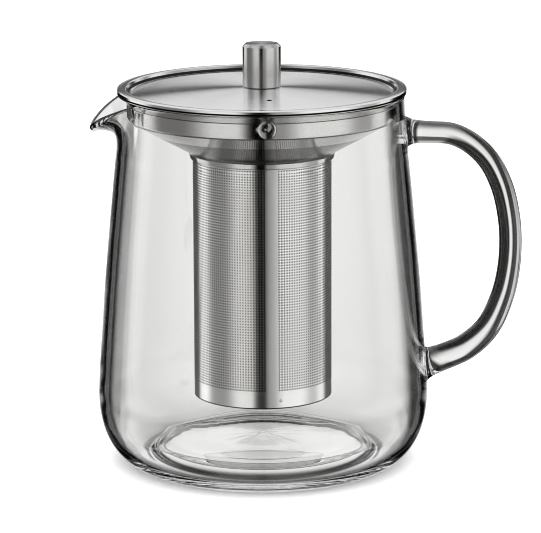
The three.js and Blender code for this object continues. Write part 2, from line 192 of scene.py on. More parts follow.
class Nodes:
    """Small helper for building node trees by value."""

    def __init__(self, tree):
        self.t = tree

    def new(self, kind, **props):
        n = self.t.nodes.new(kind)
        for k, v in props.items():
            setattr(n, k, v)
        return n

    def put(self, socket, value):
        if isinstance(value, bpy.types.NodeSocket):
            self.t.links.new(value, socket)
        else:
            socket.default_value = value

    def math(self, op, a, b=0.0, c=None, clamp=False):
        n = self.new("ShaderNodeMath", operation=op, use_clamp=clamp)
        self.put(n.inputs[0], a)
        self.put(n.inputs[1], b)
        if c is not None:
            self.put(n.inputs[2], c)
        return n.outputs[0]

    def add(self, a, b):
        return self.math("ADD", a, b)

    def sub(self, a, b):
        return self.math("SUBTRACT", a, b)

    def mul(self, a, b):
        return self.math("MULTIPLY", a, b)

    def ramp(self, x, lo, hi, out_lo=0.0, out_hi=1.0):
        """Smooth step of x from lo to hi."""
        n = self.new("ShaderNodeMapRange", interpolation_type="SMOOTHERSTEP", clamp=True)
        self.put(n.inputs["Value"], x)
        n.inputs["From Min"].default_value = lo
        n.inputs["From Max"].default_value = hi
        n.inputs["To Min"].default_value = out_lo
        n.inputs["To Max"].default_value = out_hi
        return n.outputs["Result"]

    def band(self, x, a, b, c, d):
        """1 between b and c, falling smoothly to 0 at a and at d."""
        return self.mul(self.ramp(x, a, b), self.ramp(x, c, d, 1.0, 0.0))

    def mix(self, fac, a, b):
        n = self.new("ShaderNodeMix", data_type="RGBA")
        self.put(n.inputs["Factor"], fac)
        self.put(n.inputs["A"], a)
        self.put(n.inputs["B"], b)
        return n.outputs["Result"]

    def lerp(self, fac, a, b):
        n = self.new("ShaderNodeMix", data_type="FLOAT")
        self.put(n.inputs["Factor"], fac)
        self.put(n.inputs["A"], a)
        self.put(n.inputs["B"], b)
        return n.outputs["Result"]

    def noise(self, vector, scale, detail=2.0, roughness=0.5, distortion=0.0):
        n = self.new("ShaderNodeTexNoise")
        if vector is not None:
            self.put(n.inputs["Vector"], vector)
        n.inputs["Scale"].default_value = scale
        n.inputs["Detail"].default_value = detail
        n.inputs["Roughness"].default_value = roughness
        n.inputs["Distortion"].default_value = distortion
        return n.outputs["Fac"]

    def combine(self, x, y, z):
        n = self.new("ShaderNodeCombineXYZ")
        self.put(n.inputs[0], x)
        self.put(n.inputs[1], y)
        self.put(n.inputs[2], z)
        return n.outputs[0]

    def bump(self, height, strength, distance, normal=None):
        n = self.new("ShaderNodeBump")
        self.put(n.inputs["Height"], height)
        n.inputs["Strength"].default_value = strength
        n.inputs["Distance"].default_value = distance
        if normal is not None:
            self.put(n.inputs["Normal"], normal)
        return n.outputs["Normal"]


def material(name):
    m = bpy.data.materials.new(name)
    m.use_nodes = True
    m.node_tree.nodes.clear()
    n = Nodes(m.node_tree)
    out = n.new("ShaderNodeOutputMaterial")
    return m, n, out


def object_polar(n):
    """Object coordinates (metres, origin on the axis) as x, y, z, radius and the unit direction."""
    tc = n.new("ShaderNodeTexCoord")
    sep = n.new("ShaderNodeSeparateXYZ")
    n.put(sep.inputs[0], tc.outputs["Object"])
    x, y, z = sep.outputs
    r = n.math("SQRT", n.add(n.mul(x, x), n.mul(y, y)))
    safe = n.math("MAXIMUM", r, 1e-5)
    return x, y, z, r, n.math("DIVIDE", x, safe), n.math("DIVIDE", y, safe)


def glass_material():
    """Clear borosilicate glass: a trace of warm grey, faint drawing waves in the wall, no roughness."""
    m, n, out = material("clear_glass")
    x, y, z, r, cx, cy = object_polar(n)
    p = n.new("ShaderNodeBsdfPrincipled")
    p.inputs["Metallic"].default_value = 0.0
    p.inputs["Roughness"].default_value = 0.0
    p.inputs["IOR"].default_value = GLASS_IOR
    p.inputs["Transmission Weight"].default_value = 1.0
    # slow waves run round the pot, as blown and pressed glass has
    waves = n.noise(n.combine(n.mul(cx, 1.6), n.mul(cy, 1.6), n.mul(z, 34.0)), 1.0, 1.0, 0.4)
    pull = n.noise(n.combine(n.mul(cx, 5.0), n.mul(cy, 5.0), n.mul(z, 9.0)), 1.0, 1.0, 0.4)
    height = n.add(n.mul(waves, 0.6), n.mul(pull, 0.4))
    n.put(p.inputs["Normal"], n.bump(height, 1.0, GLASS_WAVE))
    tint = n.noise(n.combine(n.mul(cx, 0.8), n.mul(cy, 0.8), n.mul(z, 12.0)), 1.0, 1.0, 0.5)
    n.put(p.inputs["Base Color"], n.mix(tint, (*GLASS_TINT_A, 1), (*GLASS_TINT_B, 1)))
    clear = n.new("ShaderNodeBsdfTransparent")
    clear.inputs["Color"].default_value = (GLASS_SHADOW, GLASS_SHADOW, GLASS_SHADOW, 1)
    lp = n.new("ShaderNodeLightPath")
    mix = n.new("ShaderNodeMixShader")
    n.put(mix.inputs[0], lp.outputs["Is Shadow Ray"])
    n.put(mix.inputs[1], p.outputs[0])
    n.put(mix.inputs[2], clear.outputs[0])
    n.put(out.inputs["Surface"], mix.outputs[0])
    return m


def steel_material(
    name,
    base,
    rough,
    aniso=0.0,
    rotation=0.25,
    grain="rings",
    grain_depth=0.0,
    grain_pitch=0.00035,
    rough_spread=0.25,
    smudge=0.06,
    colour_spread=0.05,
    normal_waves=0.0,
    haze=0.0,
    haze_base=0.2,
):
    """Stainless steel turned or brushed round the vertical axis. grain 'rings' runs round the axis and is
    read across the radius, 'turned' runs round a wall and is read up the height, 'drawn' runs up a wall."""
    m, n, out = material(name)
    x, y, z, r, cx, cy = object_polar(n)
    p = n.new("ShaderNodeBsdfPrincipled")
    p.inputs["Metallic"].default_value = 1.0
    if grain == "rings":
        line = n.combine(n.mul(r, 1.0 / grain_pitch), n.mul(cx, 1.3), n.mul(cy, 1.3))
        coarse = n.combine(n.mul(r, 0.16 / grain_pitch), n.mul(cx, 0.7), n.mul(cy, 0.7))
    elif grain == "turned":
        line = n.combine(n.mul(z, 1.0 / grain_pitch), n.mul(cx, 1.3), n.mul(cy, 1.3))
        coarse = n.combine(n.mul(z, 0.16 / grain_pitch), n.mul(cx, 0.7), n.mul(cy, 0.7))
    else:
        k = 0.026 / grain_pitch
        line = n.combine(n.mul(z, 55.0), n.mul(cx, k), n.mul(cy, k))
        coarse = n.combine(n.mul(z, 20.0), n.mul(cx, 0.2 * k), n.mul(cy, 0.2 * k))
    fine = n.noise(line, 1.0, 3.0, 0.6)
    broad = n.noise(coarse, 1.0, 2.0, 0.5)
    grain_value = n.add(n.mul(fine, 0.65), n.mul(broad, 0.35))
    tc = n.new("ShaderNodeTexCoord")
    hand = n.noise(tc.outputs["Object"], 42.0, 3.0, 0.55)
    # roughness follows the grain, with faint handling marks
    ro = n.mul(n.lerp(grain_value, 1.0 - rough_spread, 1.0 + rough_spread), rough)
    ro = n.add(ro, n.mul(n.ramp(hand, 0.5, 0.75), smudge * rough))
    n.put(p.inputs["Roughness"], ro)
    lo = tuple(c * (1.0 - colour_spread) for c in base)
    hi = tuple(min(1.0, c * (1.0 + colour_spread)) for c in base)
    n.put(p.inputs["Base Color"], n.mix(grain_value, (*lo, 1), (*hi, 1)))
    normal = None
    if normal_waves > 0:
        swell = n.noise(n.combine(n.mul(cx, 2.2), n.mul(cy, 2.2), n.mul(z, 30.0)), 1.0, 1.0, 0.4)
        normal = n.bump(swell, 1.0, normal_waves)
    if grain_depth > 0:
        normal = n.bump(grain_value, 1.0, grain_depth, normal)
    if normal is not None:
        n.put(p.inputs["Normal"], normal)
    if aniso > 0:
        p.inputs["Anisotropic"].default_value = aniso
        p.inputs["Anisotropic Rotation"].default_value = rotation
        tan = n.new("ShaderNodeTangent", direction_type="RADIAL", axis="Z")
        n.put(p.inputs["Tangent"], tan.outputs[0])
    if haze > 0:
        # a faint matt haze under the polish, as rolled sheet has
        q = n.new("ShaderNodeBsdfPrincipled")
        q.inputs["Metallic"].default_value = 1.0
        q.inputs["Roughness"].default_value = 0.36
        n.put(q.inputs["Base Color"], n.mix(grain_value, (haze_base * 0.9,) * 3 + (1,), (haze_base * 1.1,) * 3 + (1,)))
        both = n.new("ShaderNodeMixShader")
        both.inputs[0].default_value = haze
        n.put(both.inputs[1], p.outputs[0])
        n.put(both.inputs[2], q.outputs[0])
        n.put(out.inputs["Surface"], both.outputs[0])
        return m
    n.put(out.inputs["Surface"], p.outputs[0])
    return m


# Glass
GLASS_IOR = 1.47
GLASS_WAVE = 0.00005
GLASS_TINT_A = (0.965, 0.965, 0.962)
GLASS_TINT_B = (0.975, 0.975, 0.973)
GLASS_SHADOW = 0.975

mat_glass = glass_material()
mat_polished = steel_material(
    "polished_steel", (0.631, 0.627, 0.616), 0.07, aniso=0.5, grain="turned", grain_pitch=0.0004,
    rough_spread=0.2, normal_waves=0.00002,
)
mat_rim = steel_material(
    "lid_rim_steel", (0.72, 0.72, 0.72), 0.16, aniso=0.5, grain="rings", grain_pitch=0.0005,
)
mat_lid = steel_material(
    "brushed_steel", (0.86, 0.86, 0.87), 0.235, aniso=1.0, grain="rings", grain_pitch=0.00028,
    grain_depth=0.0000012, rough_spread=0.12, colour_spread=0.08,
)
mat_knob = steel_material(
    "turned_steel", (0.585, 0.58, 0.57), 0.20, aniso=0.85, grain="turned", grain_pitch=0.00026,
    grain_depth=0.000003, rough_spread=0.3, colour_spread=0.08,
)
mat_strainer = steel_material(
    "strainer_steel", (0.97, 0.965, 0.95), 0.28, aniso=0.98, grain="drawn", grain_pitch=0.0005,
    grain_depth=0.0000004, rough_spread=0.05, colour_spread=0.04, normal_waves=0.00002,
)
# painted shade: near-black steel stands in for the shade inside the basket, on the sheet's inner side, the hole walls
# and the inside of the bottom cup
mat_inside_painted_shade = steel_material(
    "strainer_inside_painted_shade_steel", (0.016, 0.016, 0.015), 0.42, grain="drawn", grain_pitch=0.0006, rough_spread=0.3,
    colour_spread=0.06,
)
# painted shade: a darker copy of the polished steel for the flange edge and collar wall in the shade under the flange
mat_throat_painted_shade = steel_material(
    "throat_painted_shade_steel", (0.52, 0.515, 0.50), 0.16, aniso=0.5, grain="turned", grain_pitch=0.0004, rough_spread=0.2,
)
# painted shade: a darker copy for the underside of the funnel shoulder; the spot weld also uses it
mat_shoulder_shade_and_weld = steel_material(
    "shoulder_shade_and_weld_steel", (0.30, 0.297, 0.29), 0.16, aniso=0.6, grain="rings", grain_pitch=0.0005, rough_spread=0.2,
)
# painted shade: near-black steel for the lid's step, rim underside and vent bore, the flange top under the lid rim and
# the strainer's cut lower edge
mat_step_painted_shade = steel_material(
    "step_painted_shade_steel", (0.04, 0.04, 0.04), 0.34, grain="rings", grain_pitch=0.0005, rough_spread=0.2,
)
mat_fastener = steel_material(
    "fastener_steel", (0.70, 0.69, 0.67), 0.30, aniso=0.4, grain="rings", grain_pitch=0.0004,
    grain_depth=0.000004, rough_spread=0.3,
)


def finish_piece(ob, mat, slot, body, *nodes):
    if mat is not mat_glass:
        ob.data.set_sharp_from_angle(angle=math.radians(38))
    ob.data.materials.clear()
    ob.data.materials.append(mat)
    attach(ob, body)
    if nodes:
        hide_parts(*nodes)
    return ob


# ---------------------------------------------------------------- glass jug

WALL = 2.0
NECK_OUTER_R = 53.3
GLASS_RIM_Z = 141.5
SECTION_Z = 121.0
SPOUT_HALF_ANGLE = 30.0
SPOUT_REACH = 11.0
SPOUT_DROP = 12.4
SPOUT_LEAN = 94.0
SPOUT_LIP = 1.35
LIP_MID_R = NECK_OUTER_R - WALL / 2
LIP_MID_Z = GLASS_RIM_Z - WALL / 2
SECTION_MID_R = 53.55

OUT_PUNT = [[0, 7.2], [10, 7.15], [20, 6.95], [29, 6.6], [34.0, 6.2], [37.4, 5.2], [39.4, 3.2], [40.6, 1.2],
            [41.8, 0.22], [43.0, 0.0]]
OUT_CORNER = []
for i in range(0, 40):
    a = (math.pi / 2) * (1 - i / 39)
    OUT_CORNER.append([44.5 + 17.9 * math.cos(a) ** (2 / 2.05), 26.1 - 26.1 * math.sin(a) ** (2 / 2.05)])
OUT_SIDE = [[62.15, 34.0], [61.45, 43.5], [60.55, 56.0], [59.65, 68.2], [58.5, 81.0], [57.35, 93.2],
            [55.9, 108.0], [54.55, SECTION_Z]]
IN_LINE = [[0, 10.6], [18, 10.1], [34.5, 9.4], [39.2, 8.2], [42.2, 5.2], [45.3, 3.7], [49.0, 4.0],
           [53.2, 6.4], [56.5, 10.4], [58.8, 15.6], [59.9, 21.0], [60.2, 27.0], [59.95, 34.0],
           [59.3, 43.5], [58.4, 56.0], [57.5, 68.2], [56.4, 81.0], [55.25, 93.2], [53.85, 108.0],
           [52.55, SECTION_Z]]


def resample(line, spacing_of):
    """Keeps a dense line's shape with points spaced by spacing_of(r, z)."""
    p = np.array(line, float)
    seg = np.linalg.norm(np.diff(p, axis=0), axis=1)
    s = np.concatenate([[0], np.cumsum(seg)])
    out, at = [p[0]], 0.0
    while True:
        here = out[-1]
        at += spacing_of(here[0], here[1])
        if at > s[-1] - 0.5 * spacing_of(here[0], here[1]):
            break
        out.append(np.array([np.interp(at, s, p[:, 0]), np.interp(at, s, p[:, 1])]))
    out.append(p[-1])
    return out


def row_spacing(r, z):
    if r < 30 and z < 15:
        return 2.4
    if z < 14:
        return 0.85
    if z < 36:
        return 1.3
    return 2.7


outer_low = smooth_curve(OUT_PUNT + OUT_CORNER + OUT_SIDE, 0.3)
inner_low = smooth_curve(IN_LINE, 0.3)
outer_low = resample(outer_low, row_spacing)
inner_low = resample(inner_low, row_spacing)


def neck_line(from_spout, steps):
    soft = min(math.hypot(from_spout, 1.5) / SPOUT_HALF_ANGLE, 1.0)
    pull = 1 - soft**1.4
    drop = (1 - soft) ** 1.08
    lean = math.radians(SPOUT_LEAN * (1 - soft**1.2))
    end_r = LIP_MID_R + SPOUT_REACH * pull
    end_z = LIP_MID_Z - SPOUT_DROP * drop
    rise = end_z - SECTION_Z
    first = 0.36 * rise + 0.52 * rise * pull
    last = 0.33 * rise * (1 - pull) + 8.6 * pull
    p = np.array([
        [SECTION_MID_R, SECTION_Z],
        [SECTION_MID_R - 0.055 * first, SECTION_Z + first],
        [end_r - math.sin(lean) * last, end_z - math.cos(lean) * last],
        [end_r, end_z],
    ])
    rows = []
    for i in range(steps + 1):
        t = i / steps
        u = 1 - t
        at = u**3 * p[0] + 3 * u * u * t * p[1] + 3 * u * t * t * p[2] + t**3 * p[3]
        d = 3 * u * u * (p[1] - p[0]) + 6 * u * t * (p[2] - p[1]) + 3 * t * t * (p[3] - p[2])
        d = d / np.linalg.norm(d)
        half = WALL / 2 + (SPOUT_LIP - WALL / 2) * pull * t**3
        rows.append((at, d, half))
    return rows


NUB_Z = 136.9          # round glass stud moulded in the neck, front and back
NUB_AT = (-87.8, 92.2)
NUB_HALF_W = 3.1
NUB_HALF_H = 3.1
NUB_DEPTH = 0.5
NUB_OUT = 0.9


def jug_section(from_spout, nub_offset_mm):
    steps = 46
    line = neck_line(from_spout, steps)
    section = [np.array(q) for q in outer_low]
    inner_up = []

    def nub(z):
        """Flat-topped stud with a small five-sided dimple in the middle."""
        q = math.hypot(nub_offset_mm / NUB_HALF_W, (z - NUB_Z) / NUB_HALF_H)
        if q >= 1:
            return 0.0
        t = min(1.0, (1 - q) / 0.34)
        height = t * t * (3 - 2 * t)
        turn = math.atan2(z - NUB_Z, nub_offset_mm)
        star = 0.46 + 0.07 * math.cos(5 * turn)
        if q < star:
            height -= 0.42 * (1 - q / star)
        return height

    for at, d, half in line[1:]:
        section.append(np.array([at[0] + d[1] * half + NUB_OUT * nub(at[1]), at[1] - d[0] * half]))
    at, d, half = line[-1]
    for k in range(1, 12):
        a = math.pi * k / 12
        side, out = math.cos(a) * half, math.sin(a) * half
        section.append(np.array([at[0] + d[1] * side + d[0] * out, at[1] - d[0] * side + d[1] * out]))
    for at, d, half in reversed(line[1:]):
        inner_up.append(np.array([at[0] - d[1] * half - NUB_DEPTH * nub(at[1]), at[1] + d[0] * half]))
    section += inner_up
    section += [np.array(q) for q in reversed(inner_low)]
    return section


def azimuths():
    """Degrees round the pot from +X, denser across the spout and the two studs."""
    marks = []
    a = -180.0
    while a < 180.0 - 1e-9:
        marks.append(a)
        spout = abs(abs(a) - 180.0)
        nub = min(abs(a - q) for q in NUB_AT)
        if nub < 4.4:
            a += 0.4
        elif spout < 31:
            a += 1.0
        else:
            a += 1.75
    if 180.0 - marks[-1] < 0.5:
        marks.pop()
    return marks


def build_jug():
    marks = azimuths()
    columns = []
    for deg in marks:
        from_spout = abs(abs(deg) - 180.0)
        off = min((deg - q for q in NUB_AT), key=abs) * math.pi / 180 * 52.0
        columns.append(jug_section(from_spout, off))
    rows = len(columns[0])
    nc = len(marks)
    verts = [(AX, 0.0, columns[0][0][1]), (AX, 0.0, columns[0][-1][1])]
    for deg, col in zip(marks, columns):
        c, s = math.cos(math.radians(deg)), math.sin(math.radians(deg))
        for q in col[1:-1]:
            verts.append((AX + q[0] * c, q[0] * s, q[1]))
    faces = []
    m = rows - 2

    def at(c, r):
        return 2 + (c % nc) * m + (r - 1)

    for c in range(nc):
        faces.append((0, at(c + 1, 1), at(c, 1)))
        faces.append((1, at(c, rows - 2), at(c + 1, rows - 2)))
        for r in range(1, rows - 2):
            faces.append((at(c, r), at(c + 1, r), at(c + 1, r + 1), at(c, r + 1)))
    ob = make_object("glass_jug", verts, faces, origin=(AX, 0.0, 0.0))
    face_out(ob)
    return ob


HANDLE_PATH = [
    [51.8, 126.6, 7.0, 7.6],
    [53.0, 126.6, 6.3, 6.9],
    [54.6, 126.6, 5.3, 5.9],
    [57.5, 126.55, 4.35, 5.0],
    [63.5, 126.3, 4.2, 4.7],
    [70.8, 125.7, 4.2, 4.7],
    [78.0, 122.3, 4.2, 4.7],
    [85.0, 115.6, 4.25, 4.7],
    [90.1, 105.6, 4.3, 4.7],
    [92.8, 94.1, 4.3, 4.7],
    [93.55, 84.1, 4.3, 4.7],
    [92.9, 73.5, 4.35, 4.7],
    [90.6, 62.9, 4.5, 4.8],
    [85.2, 51.1, 4.8, 4.9],
    [77.2, 43.6, 5.1, 5.0],
    [69.5, 40.0, 5.1, 5.1],
    [64.6, 38.3, 5.3, 5.4],
    [61.9, 37.5, 6.0, 6.1],
    [60.6, 37.2, 6.7, 6.8],
]


def build_handle():
    """The solid glass rod, flared at both fused ends; its ends stop inside the wall of the jug."""
    path = smooth_curve([[q[0], q[1]] for q in HANDLE_PATH], 0.9)
    knots = np.array([[q[0], q[1]] for q in HANDLE_PATH], float)
    ks = np.concatenate([[0], np.cumsum(np.linalg.norm(np.diff(knots, axis=0), axis=1))])
    p = np.array(path)
    s = np.concatenate([[0], np.cumsum(np.linalg.norm(np.diff(p, axis=0), axis=1))])
    s = s * ks[-1] / s[-1]

    def soft(col):
        v = np.interp(s, ks, [q[col] for q in HANDLE_PATH])
        for _ in range(6):
            v[1:-1] = 0.25 * v[:-2] + 0.5 * v[1:-1] + 0.25 * v[2:]
        return v

    inplane, across = soft(2), soft(3)
    tang = np.gradient(p, axis=0)
    tang /= np.linalg.norm(tang, axis=1)[:, None]
    sides = 72
    verts, faces = [], []
    for i in range(len(p)):
        for j in range(sides):
            a = 2 * math.pi * j / sides
            # faint drawing ridges along the rod, fading out at its fused ends
            e = min(1.0, s[i] / 14.0, (s[-1] - s[i]) / 14.0)
            k = 1.0 - e * (0.02 + 0.018 * math.cos(5 * a + 0.7 + 0.006 * s[i]) + 0.009 * math.cos(9 * a + 2.0))
            verts.append((
                AX + p[i, 0] - tang[i, 1] * math.cos(a) * inplane[i] * k,
                math.sin(a) * across[i] * k,
                p[i, 1] + tang[i, 0] * math.cos(a) * inplane[i] * k,
            ))
    for i in range(len(p) - 1):
        for j in range(sides):
            k = (j + 1) % sides
            faces.append((i * sides + j, (i + 1) * sides + j, (i + 1) * sides + k, i * sides + k))
    faces.append(tuple(range(sides)))
    faces.append(tuple(reversed(range((len(p) - 1) * sides, len(p) * sides))))
    ob = make_object("handle_rod", verts, faces, origin=(AX, 0.0, 0.0))
    face_out(ob)
    return ob


def fuse(a, b):
    """Joins b into a as one body of glass and shades it smooth; soften_join relaxes the join afterwards."""
    mod = a.modifiers.new("fuse", "BOOLEAN")
    mod.operation = "UNION"
    mod.solver = "EXACT"
    mod.object = b
    dg = bpy.context.evaluated_depsgraph_get()
    mesh = bpy.data.meshes.new_from_object(a.evaluated_get(dg), depsgraph=dg)
    a.modifiers.clear()
    a.data = mesh
    bpy.data.objects.remove(b)
    mesh.polygons.foreach_set("use_smooth", np.ones(len(mesh.polygons), bool))
    return a


def soften_join(ob, seeds_fn, rings, rounds):
    """Relaxes the vertices within a few rings of the join."""
    bm = bmesh.new()
    bm.from_mesh(ob.data)
    bmesh.ops.triangulate(bm, faces=[f for f in bm.faces if len(f.verts) > 4])
    bm.verts.ensure_lookup_table()
    bm.normal_update()
    picked = set(v for v in bm.verts if seeds_fn(v))
    ring = set(picked)
    for _ in range(rings):
        ring |= {e.other_vert(v) for v in ring for e in v.link_edges}
    movable = list(ring)
    for _ in range(rounds):
        new = {}
        for v in movable:
            nb = [e.other_vert(v).co for e in v.link_edges]
            new[v] = v.co.lerp(sum(nb, Vector()) / len(nb), 0.45)
        for v, co in new.items():
            v.co = co
    bm.to_mesh(ob.data)
    bm.free()
    ob.data.update()


jug = build_jug()
rod = build_handle()
rod_mesh = rod.data.copy()
fuse(jug, rod)


def on_join(v):
    """A vertex of the crease between the rod and the wall, outside the pot."""
    if v.co.x < 0.045 or abs(v.co.y) > 0.012:
        return False
    faces = v.link_faces
    if len(faces) < 2:
        return False
    n0 = faces[0].normal
    return any(n0.dot(f.normal) < 0.86 for f in faces)


soften_join(jug, on_join, 2, 8)
finish_piece(jug, mat_glass, "clear_glass", "pot", "glass_body", "glass_handle")

# ---------------------------------------------------------------- infuser

SHOULDER = []
for i in range(13):
    t = i / 12
    SHOULDER.append((
        [(1 - t) ** 2 * 29.8 + 2 * t * (1 - t) * 27.5 + t * t * 27.35,
         (1 - t) ** 2 * 121.29 + 2 * t * (1 - t) * 120.0 + t * t * 119.2],
        0.0,
    ))
FUNNEL = [
    # outside, from the flange edge down
    ([54.0, 141.95], 0.0),
    ([54.0, 141.75], 0.15),
    ([50.2, 141.75], 0.25),
    ([50.2, 139.0], 0.3),
    ([50.6, 138.6], 0.5),
    ([50.6, 133.0], 1.1),
    ([41.5, 127.88], 0.0),
    *SHOULDER,
    ([26.75, 117.75], 0.1),
    ([26.15, 117.75], 0.0),
    # inside, back up
    ([26.15, 118.4], 0.0),
    ([26.9, 120.2], 0.6),
    ([32.6, 123.6], 0.6),
    ([49.95, 133.35], 0.8),
    ([50.0, 138.3], 0.5),
    ([49.6, 138.8], 0.3),
    ([49.6, 142.2], 0.8),
    ([54.0, 142.2], 0.15),
]
funnel = lathe("funnel_drawn", fillet([q[0] for q in FUNNEL], True, [q[1] for q in FUNNEL], 8, 0.1), 224, True)
face_out(funnel)
finish_piece(funnel, mat_polished, "polished_steel", "infuser", "infuser_funnel")
funnel.data.materials.append(mat_throat_painted_shade)
funnel.data.materials.append(mat_step_painted_shade)
funnel.data.materials.append(mat_shoulder_shade_and_weld)
# painted shade: darker copies of the steel stand in for shade on the flange edge and collar wall under the flange, the
# flange top under the lid rim and the underside of the shoulder
for poly in funnel.data.polygons:
    c = poly.center
    r, z = math.hypot(c.x, c.y) * 1000, c.z * 1000
    if z > 142.05 and r > 50.0:
        poly.material_index = 2
    elif z > 138.75 and r > 49.9:
        poly.material_index = 1
    elif 27.0 < r < 41.5 and z > 119.0 and poly.normal.z < 0.2:
        poly.material_index = 3

RING = [
    ([26.12, 117.25], 0.03),
    ([26.6, 117.25], 0.1),
    ([27.05, 117.6], 0.2),
    ([27.45, 119.35], 0.15),
    ([27.3, 119.75], 0.1),
    ([26.5, 119.5], 0.1),
    ([26.12, 118.3], 0.03),
]
ring = lathe("joining_band", fillet([q[0] for q in RING], True, [q[1] for q in RING], 6, 0.1), 192, True)
face_out(ring)
finish_piece(ring, mat_polished, "polished_steel", "infuser", "infuser_ring")

# Perforated strainer: a rolled sheet with a lapped plain seam strip, real holes on a square grid
STRAINER_R = 26.05
SHEET = 0.4
HOLE_ROWS = 83
HOLE_R = 0.325
HOLE_INNER_R = 0.17       # the etched holes narrow towards the inside
FIRST_ROW_Z = 116.6
LAST_ROW_Z = 33.37
SEAM_DEG = -82.3           # centre of the plain seam strip
SEAM_WIDTH = 4.4           # mm
HOLE_COLS = 156
HOLE_SIDES = 8


def strainer_part(name, row_from, row_to, top_z, bottom_z):
    """Rows row_from..row_to-1 of holes counted from the top, with plain bands out to top_z and bottom_z."""
    dz = (FIRST_ROW_Z - LAST_ROW_Z) / (HOLE_ROWS - 1)
    seam_half = SEAM_WIDTH / 2 / STRAINER_R
    start = math.radians(SEAM_DEG) + seam_half
    span = 2 * math.pi - 2 * seam_half
    dphi = span / HOLE_COLS
    ro, ri = STRAINER_R, STRAINER_R - SHEET
    verts, faces = [], []
    grid = {}

    # azimuth lines: hole cell edges, then the seam strip in narrow steps
    lines = [start + dphi * k for k in range(HOLE_COLS + 1)]
    seam_steps = 5
    lines += [lines[HOLE_COLS] + 2 * seam_half * k / seam_steps for k in range(1, seam_steps)]
    nl = len(lines)
    # heights, from the top down: band rows, hole cell edges, band rows
    z_top_cell = FIRST_ROW_Z + dz / 2 - dz * row_from
    cells = row_to - row_from
    heights = []
    if top_z > z_top_cell + 0.05:
        k = max(1, int(round((top_z - z_top_cell) / 1.0)))
        heights += [top_z + (z_top_cell - top_z) * i / k for i in range(k)]
    first_cell = len(heights)
    heights += [z_top_cell - dz * i for i in range(cells + 1)]
    last = heights[-1]
    if bottom_z < last - 0.05:
        edge = bottom_z + 0.4
        k = max(1, int(round((last - edge) / 1.0)))
        heights += [last + (edge - last) * (i + 1) / k for i in range(k)] + [bottom_z]

    def point(side, phi, z):
        r = ro if side == 0 else ri
        verts.append((AX + r * math.cos(phi), r * math.sin(phi), z))
        return len(verts) - 1

    def g(side, li, hi):
        key = (side, li % nl, hi)
        if key not in grid:
            grid[key] = point(side, lines[li % nl], heights[hi])
        return grid[key]

    for hi in range(len(heights) - 1):
        is_cell_row = first_cell <= hi < first_cell + cells
        for li in range(nl):
            hole = is_cell_row and li < HOLE_COLS
            corners = [(li, hi + 1), (li + 1, hi + 1), (li + 1, hi), (li, hi)]
            if not hole:
                a = [g(0, *c) for c in corners]
                b = [g(1, *c) for c in corners]
                faces.append(tuple(a))
                faces.append(tuple(reversed(b)))
                continue
            pc = 0.5 * (lines[li] + lines[(li + 1) % nl if li + 1 < nl else 0]) if li + 1 < nl else lines[li]
            zc = 0.5 * (heights[hi] + heights[hi + 1])
            rims = []
            for side, hole_r in ((0, HOLE_R), (1, HOLE_INNER_R)):
                loop = []
                for k in range(HOLE_SIDES):
                    t = math.pi / 4 + math.pi / HOLE_SIDES * 0 + 2 * math.pi * k / HOLE_SIDES
                    loop.append(point(side, pc + hole_r * math.cos(t) / STRAINER_R, zc + hole_r * math.sin(t)))
                rims.append(loop)
            # corner order that matches the hole points: +phi +z, -phi +z, -phi -z, +phi -z
            for side in (0, 1):
                cs = [g(side, li + 1, hi), g(side, li, hi), g(side, li, hi + 1), g(side, li + 1, hi + 1)]
                loop = rims[side]
                q = HOLE_SIDES // 4
                for c in range(4):
                    seq = [loop[(c * q + i) % HOLE_SIDES] for i in range(q + 1)]
                    f = [cs[c], cs[(c + 1) % 4]] + list(reversed(seq))
                    faces.append(tuple(f) if side == 0 else tuple(reversed(f)))
            for k in range(HOLE_SIDES):
                k2 = (k + 1) % HOLE_SIDES
                faces.append((rims[0][k], rims[0][k2], rims[1][k2], rims[1][k]))
    # close the cut edges at the top and the bottom
    for li in range(nl):
        faces.append((g(0, li, 0), g(0, li + 1, 0), g(1, li + 1, 0), g(1, li, 0)))
        h = len(heights) - 1
        faces.append((g(0, li + 1, h), g(0, li, h), g(1, li, h), g(1, li + 1, h)))
    ob = make_object(name, verts, faces, origin=(AX, 0.0, 0.0))
    return ob


def inside_index(ob):
    """Gives the inner side of the sheet and the walls of the holes the second material, a near-black painted shade."""
    co = np.empty(len(ob.data.polygons) * 3)
    ob.data.polygons.foreach_get("center", co)
    co = co.reshape(-1, 3) * 1000
    r = np.hypot(co[:, 0], co[:, 1])
    index = (r < STRAINER_R - 0.06).astype(np.int32)
    # painted shade: the cut lower edge takes the near-black step steel
    index[co[:, 2] < 26.66] = 2
    ob.data.polygons.foreach_set("material_index", index)


parts = [
    ("strainer_upper", 0, 28),
    ("strainer_middle", 28, 56),
    ("strainer_lower", 56, 83),
]
dz = (FIRST_ROW_Z - LAST_ROW_Z) / (HOLE_ROWS - 1)
for name, r0, r1 in parts:
    top = 118.6 if r0 == 0 else FIRST_ROW_Z + dz / 2 - dz * r0
    bottom = 26.25 if r1 == 83 else FIRST_ROW_Z + dz / 2 - dz * r1
    ob = strainer_part(name, r0, r1, top, bottom)
    face_out(ob)
    finish_piece(ob, mat_strainer, "strainer_steel", "infuser", "infuser_basket")
    ob.data.materials.append(mat_inside_painted_shade)
    ob.data.materials.append(mat_step_painted_shade)
    inside_index(ob)

